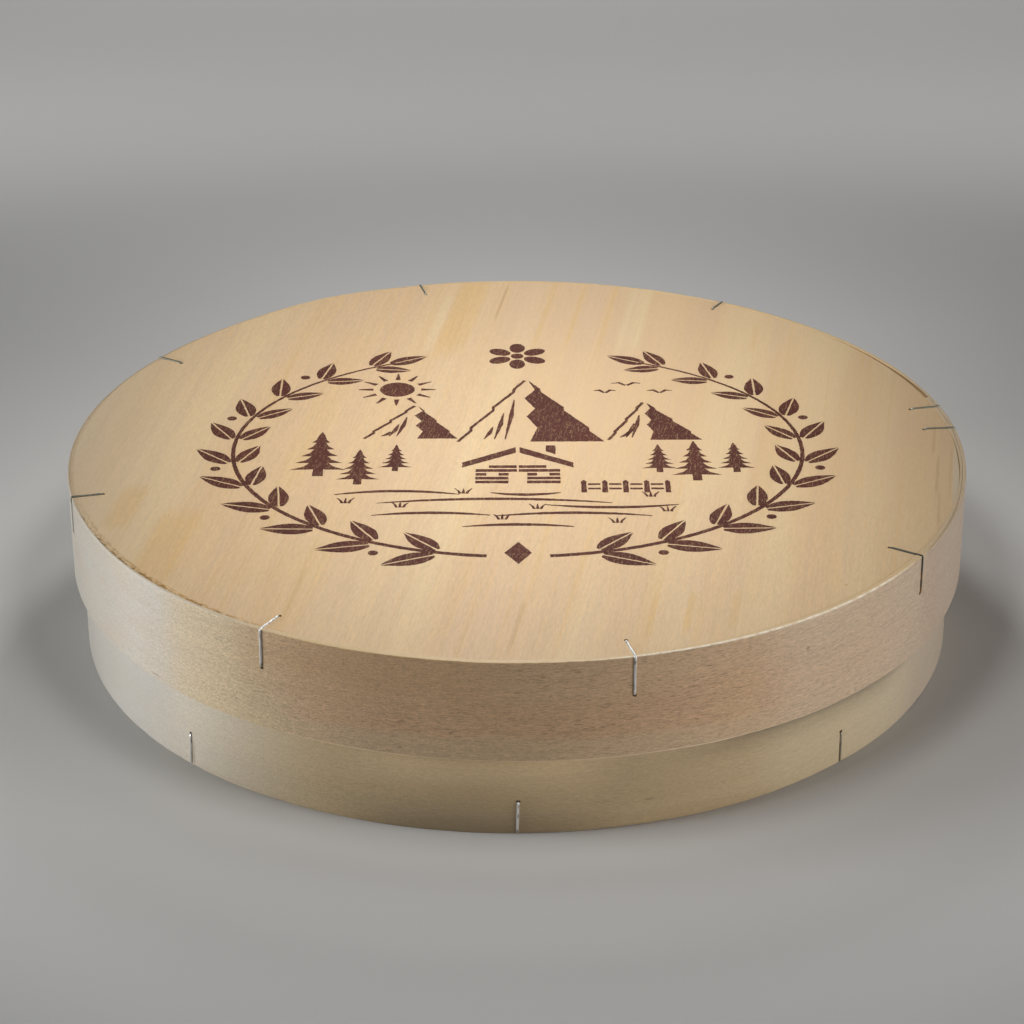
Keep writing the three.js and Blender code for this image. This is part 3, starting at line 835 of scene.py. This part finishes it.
# Base band: a second peeled strip, smoother and more yellow than the lid's, lapped at the back.
# About half of its height is inside the lid, and the lower half shows.
rings, lengths = strip_rings(BASE_RADIUS, base_sway, strip_low.z, strip_high.z, BASE_LAP_AT, 31)
rings[..., 2] = np.maximum(rings[..., 2], 0)
base_band = loft("base_band_strip", rings)
keep_grain(base_band, rings, lengths)
base_pin = np.array([BASE_RADIUS - PIN_INSIDE, BASE_RADIUS + PIN_OUTSIDE])
pierce(base_band, [polar(base_pin, a, BASE_LEG + HOLE_OFF) for a in BASE_STAPLES])
base_band.data.transform(Matrix.Translation((BASE_CENTRE, 0, 0)))

PALE_KHAKI, KHAKI, FLECK = (0.54, 0.40, 0.228), (0.51, 0.37, 0.203), (0.30, 0.20, 0.11)
GREY_SHADED_KHAKI, SHEEN_KHAKI = (0.425, 0.347, 0.266), (0.54, 0.51, 0.475)
KHAKI_GREY_SHADED_SIDE, KHAKI_YELLOW_SIDE = (-10, 12, 42), (233, 5, 18)
# Sides with painted light that grows with height: a direction, how far round it they are full and how far
# they reach
FRONT_PAINTED_LIGHT, LEFT_PAINTED_LIGHT = (265, 3, 19), (237, 8, 17)
BROAD_SHADOW, CLOSE_SHADOW, CURVED_UP = (308, 10, 22), (313, 11, 20), 0.045
# Sides with painted light or shade, lighter or darker by the share given last.
BASE_PAINTED_LIGHT = ((289, 6, 16, -0.03), (251, 8, 28, -0.17), (205, 8, 20, -0.05))
# Dark marks: degrees along the strip, height, half length and half height in mm, strength
BASE_MARKS = ((196, 6.7, 1.6, 0.3, 0.7), (255.7, 3.4, 0.5, 5.0, 0.9))
base_finish, root, inputs = new_finish("peeled_base_strip", 0.45, 0.15)
colour, shade, height, fibres, place, length, pale_sheen = strip_wood(
    root, BASE_RADIUS, (PALE_KHAKI, KHAKI, FLECK), 0.2, 0.55, BASE_MARKS)
# Greyer and darker on the right side: partly the strip's tone, partly painted shade.
colour = colour.mixed(place.facing(*KHAKI_GREY_SHADED_SIDE) * 0.8, root.colour(GREY_SHADED_KHAKI))
# Paler, greyer left side: partly the wood, partly painted sheen.
colour = colour.mixed(pale_sheen * 0.4, root.colour(SHEEN_KHAKI))
colour = colour.mixed(place.facing(*SANDY_SIDE) * 0.5, root.colour(STRAW_STRIP))
colour = colour.mixed(place.facing(*KHAKI_YELLOW_SIDE) * 0.2, root.colour(YELLOW_STRIP))
_, up, _ = length.parts()
_, y, _ = place.parts()
# Painted light by height: at the front darker low down and lighter higher up, and on the front left lighter
# higher up.
painted_height_light = up.above(0.0, 14 * MM) * 0.55 + up.above(10 * MM, 19 * MM) * 0.2 - 0.27
left_painted_light = place.facing(*LEFT_PAINTED_LIGHT) * up.above(4 * MM, 14 * MM)
under_lid = up + y * CURVED_UP
broad_shadow = place.facing(*BROAD_SHADOW) * under_lid.above(7.5 * MM, 13 * MM)
close_shadow = place.facing(*CLOSE_SHADOW) * under_lid.above(12 * MM, 14.8 * MM)
# Painted light and shade by side and by height, and the painted shadow under the lid's edge.
painted_level = painted_light(place, BASE_PAINTED_LIGHT) + place.facing(*FRONT_PAINTED_LIGHT) * painted_height_light
painted_level = painted_level + 0.12 * left_painted_light - 0.23 * broad_shadow - 0.34 * close_shadow
colour = colour.shaded(shade * painted_level)
surface(inputs, colour, 0.40 + fibres * 0.1, height, 0.03 * MM)
base_band.data.materials.clear()
base_band.data.materials.append(base_finish)
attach(base_band, "root")
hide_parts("base_band")

# Base staples: the same galvanised wire, bent round the base's lower edge.
# Each lies under the bottom board, turns up the strip's face and goes in through it.
UNDER_GAP = 0.02 * MM
for number, angle in enumerate(BASE_STAPLES, 1):
    face = BASE_RADIUS + float(base_sway(angle)) + WIRE / 2 - SUNK
    inner = BASE_RADIUS - BASE_REACH
    under = WIRE / 2 + UNDER_GAP
    route = [(inner, STAPLE_BITE), (inner, under), (face, under), (face, BASE_LEG)]
    route += [(BASE_RADIUS - TURNED_IN, BASE_LEG)]
    wire = staple(f"base_wire_{number}", angle, route, 0.0, lean_draw.uniform(-LEAN, LEAN))
    wire.data.transform(Matrix.Translation((BASE_CENTRE, 0, 0)))
    wire.data.materials.append(steel)
    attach(wire, "root")
    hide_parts(f"base_staple_{number}")

# Studio: a plain pale floor, a softbox low at each side, three small soft lights close above the box,
# two washes on the floor behind and a little light all round.
# The camera stands where the photograph was taken from, in front and above.
FLOOR_RADIUS, FLOOR_SIDES, FLOOR_DROP = 6.0, 64, 0.05 * MM
PALE_GREY = (0.62, 0.61, 0.59, 1)
floor_mesh = bpy.data.meshes.new("floor")
floor_rim = polar(FLOOR_RADIUS, np.arange(FLOOR_SIDES) * TURN / FLOOR_SIDES, -FLOOR_DROP)
floor_mesh.from_pydata(floor_rim.tolist(), [], [list(range(FLOOR_SIDES))])
floor = bpy.data.objects.new("floor", floor_mesh)
bpy.context.scene.collection.objects.link(floor)
floor_finish, root, inputs = new_finish("pale_floor", 0.8)
inputs["Base Color"].default_value = PALE_GREY
floor_mesh.materials.append(floor_finish)

# Direction and elevation in degrees, distance, width and height in metres, spread in degrees, power, tint
SOFT_LIGHTS = {
    "left_softbox": (188, 8, 0.9, 0.4, 0.35, 180, 7.6, (0.97, 1.0, 1.03)),
    "right_softbox": (336, 8, 0.9, 0.4, 0.35, 180, 5.1, (1.0, 1.0, 1.02)),
    "top_softbox": (90, 89, 0.22, 0.07, 0.1, 120, 0.06, (1.0, 1.0, 1.0)),
    "back_softbox": (90, 50, 0.35, 0.07, 0.1, 120, 0.19, (1.0, 1.0, 1.0)),
    "front_softbox": (270, 68, 0.3, 0.07, 0.1, 120, 0.12, (1.0, 1.0, 1.0)),
}
for name, (azimuth, elevation, distance, wide, high, spread, power, tint) in SOFT_LIGHTS.items():
    lamp = bpy.data.lights.new(name, "AREA")
    lamp.spread = math.radians(spread)
    lamp.shape, lamp.size, lamp.size_y = "RECTANGLE", wide, high
    lamp.energy, lamp.color = power, tint
    light = bpy.data.objects.new(name, lamp)
    up_by = math.radians(elevation)
    towards = Vector(polar(math.cos(up_by), math.radians(azimuth), math.sin(up_by)))
    light.location = towards * distance
    light.rotation_euler = towards.to_track_quat("Z", "Y").to_euler()
    bpy.context.scene.collection.objects.link(light)

WASH_WIDE, WASH_DEEP, WASH_SPREAD = 0.9, 0.15, math.radians(84)
for behind, above, power in ((0.38, 0.26, 0.22), (0.75, 0.55, 0.9)):
    wash = bpy.data.lights.new("floor_wash", "AREA")
    wash.shape, wash.size, wash.size_y = "RECTANGLE", WASH_WIDE, WASH_DEEP
    wash.energy, wash.spread = power, WASH_SPREAD
    far_light = bpy.data.objects.new("floor_wash", wash)
    far_light.location = (0, behind, above)
    bpy.context.scene.collection.objects.link(far_light)

world = bpy.data.worlds.new("studio")
bpy.context.scene.world = world
world.use_nodes = True
world.node_tree.nodes["Background"].inputs["Color"].default_value = (0.9, 0.9, 0.9, 1)
world.node_tree.nodes["Background"].inputs["Strength"].default_value = 0.02
bpy.context.scene.view_settings.view_transform = "Standard"

IMAGE_SIDE = 1024
FOCAL_PIXELS = 3107
CAMERA_RISE, CAMERA_ROLL = math.radians(26.25), math.radians(-0.11)
CAMERA_DISTANCE, CAMERA_RIGHT, CAMERA_UP = 841.5 * MM, -1.58 * MM, 25.64 * MM
lens = bpy.data.cameras.new("camera")
lens.sensor_width = 36
lens.lens = lens.sensor_width * FOCAL_PIXELS / IMAGE_SIDE
lens.clip_start, lens.clip_end = 0.05, 50
camera = bpy.data.objects.new("camera", lens)
back = Vector((0, -math.cos(CAMERA_RISE), math.sin(CAMERA_RISE)))
sideways, steep = Vector((1, 0, 0)), back.cross(Vector((1, 0, 0)))
right = math.cos(CAMERA_ROLL) * sideways + math.sin(CAMERA_ROLL) * steep
upward = math.cos(CAMERA_ROLL) * steep - math.sin(CAMERA_ROLL) * sideways
stand = back * CAMERA_DISTANCE + right * CAMERA_RIGHT + upward * CAMERA_UP
camera.matrix_world = Matrix.Translation(stand) @ Matrix((right, upward, back)).transposed().to_4x4()
bpy.context.scene.collection.objects.link(camera)
bpy.context.scene.camera = camera
